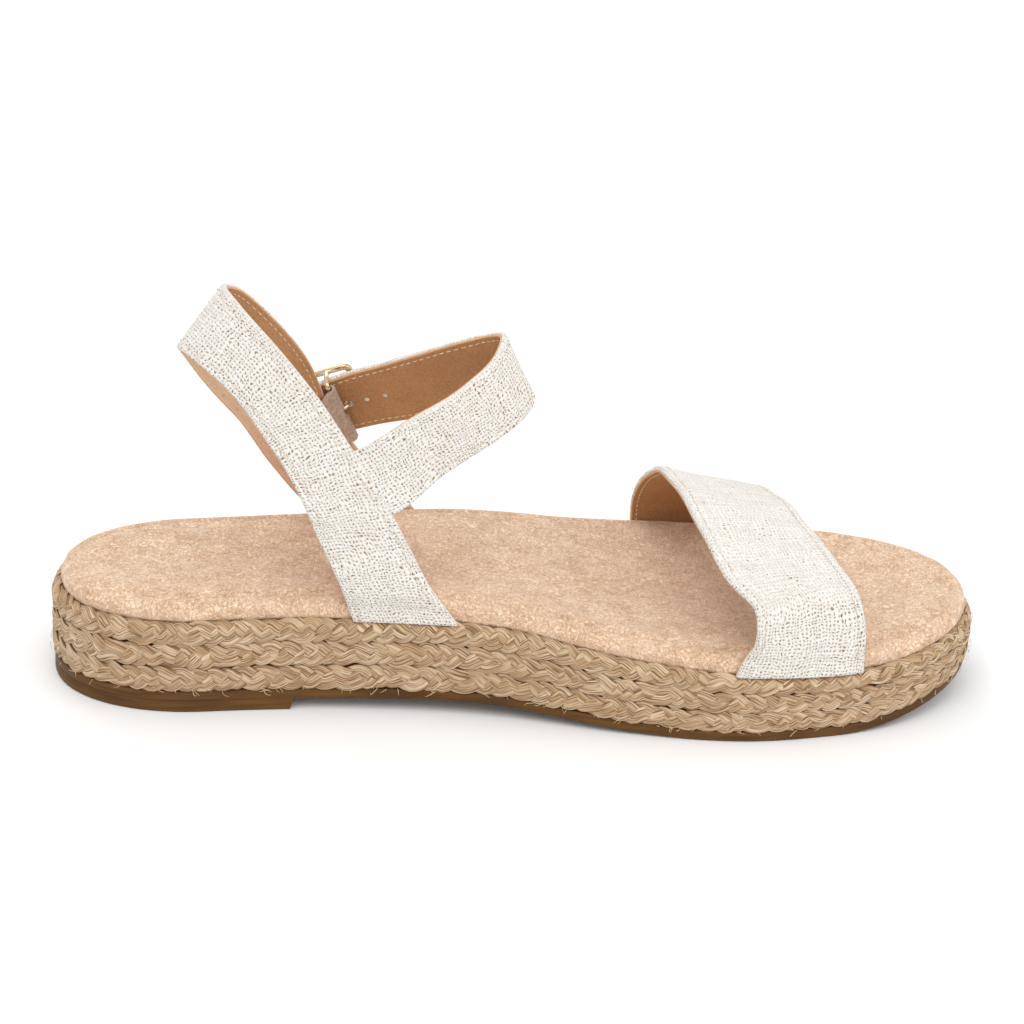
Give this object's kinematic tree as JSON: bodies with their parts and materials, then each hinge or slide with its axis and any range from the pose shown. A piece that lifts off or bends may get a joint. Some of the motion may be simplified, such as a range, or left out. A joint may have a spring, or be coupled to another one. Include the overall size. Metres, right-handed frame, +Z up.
{
  "type": "espadrille wedge sandal",
  "caption": "Left open-toe sandal on a low braided-jute wedge, with a linen band over the toes and a heel strap carrying a buckled ankle strap.",
  "frame": {"origin": "on the floor, under the middle of the shoe's bounding box", "axes": "+X from heel to toe, +Y to the outer (lateral) side of the left foot, +Z up"},
  "size_m": [0.25, 0.0906, 0.1104],
  "materials": {
    "rubber": "smooth caramel-brown rubber, satin",
    "jute": "natural jute, plaited in rows, fibrous and matt",
    "microsuede": "tan-beige microsuede with a curly nap",
    "linen": "off-white plain-weave linen with tan leather lining",
    "gold": "polished pale gold plating",
    "suede_tab": "grey-pink suede"
  },
  "bodies": {
    "root": {"outsole": "rubber", "jute_midsole": "jute", "footbed": "microsuede", "vamp_strap": "linen", "quarter_straps": "linen", "buckle_frame": "gold", "buckle_prong": "gold", "buckle_tab": "suede_tab"}
  },
  "joints": []
}
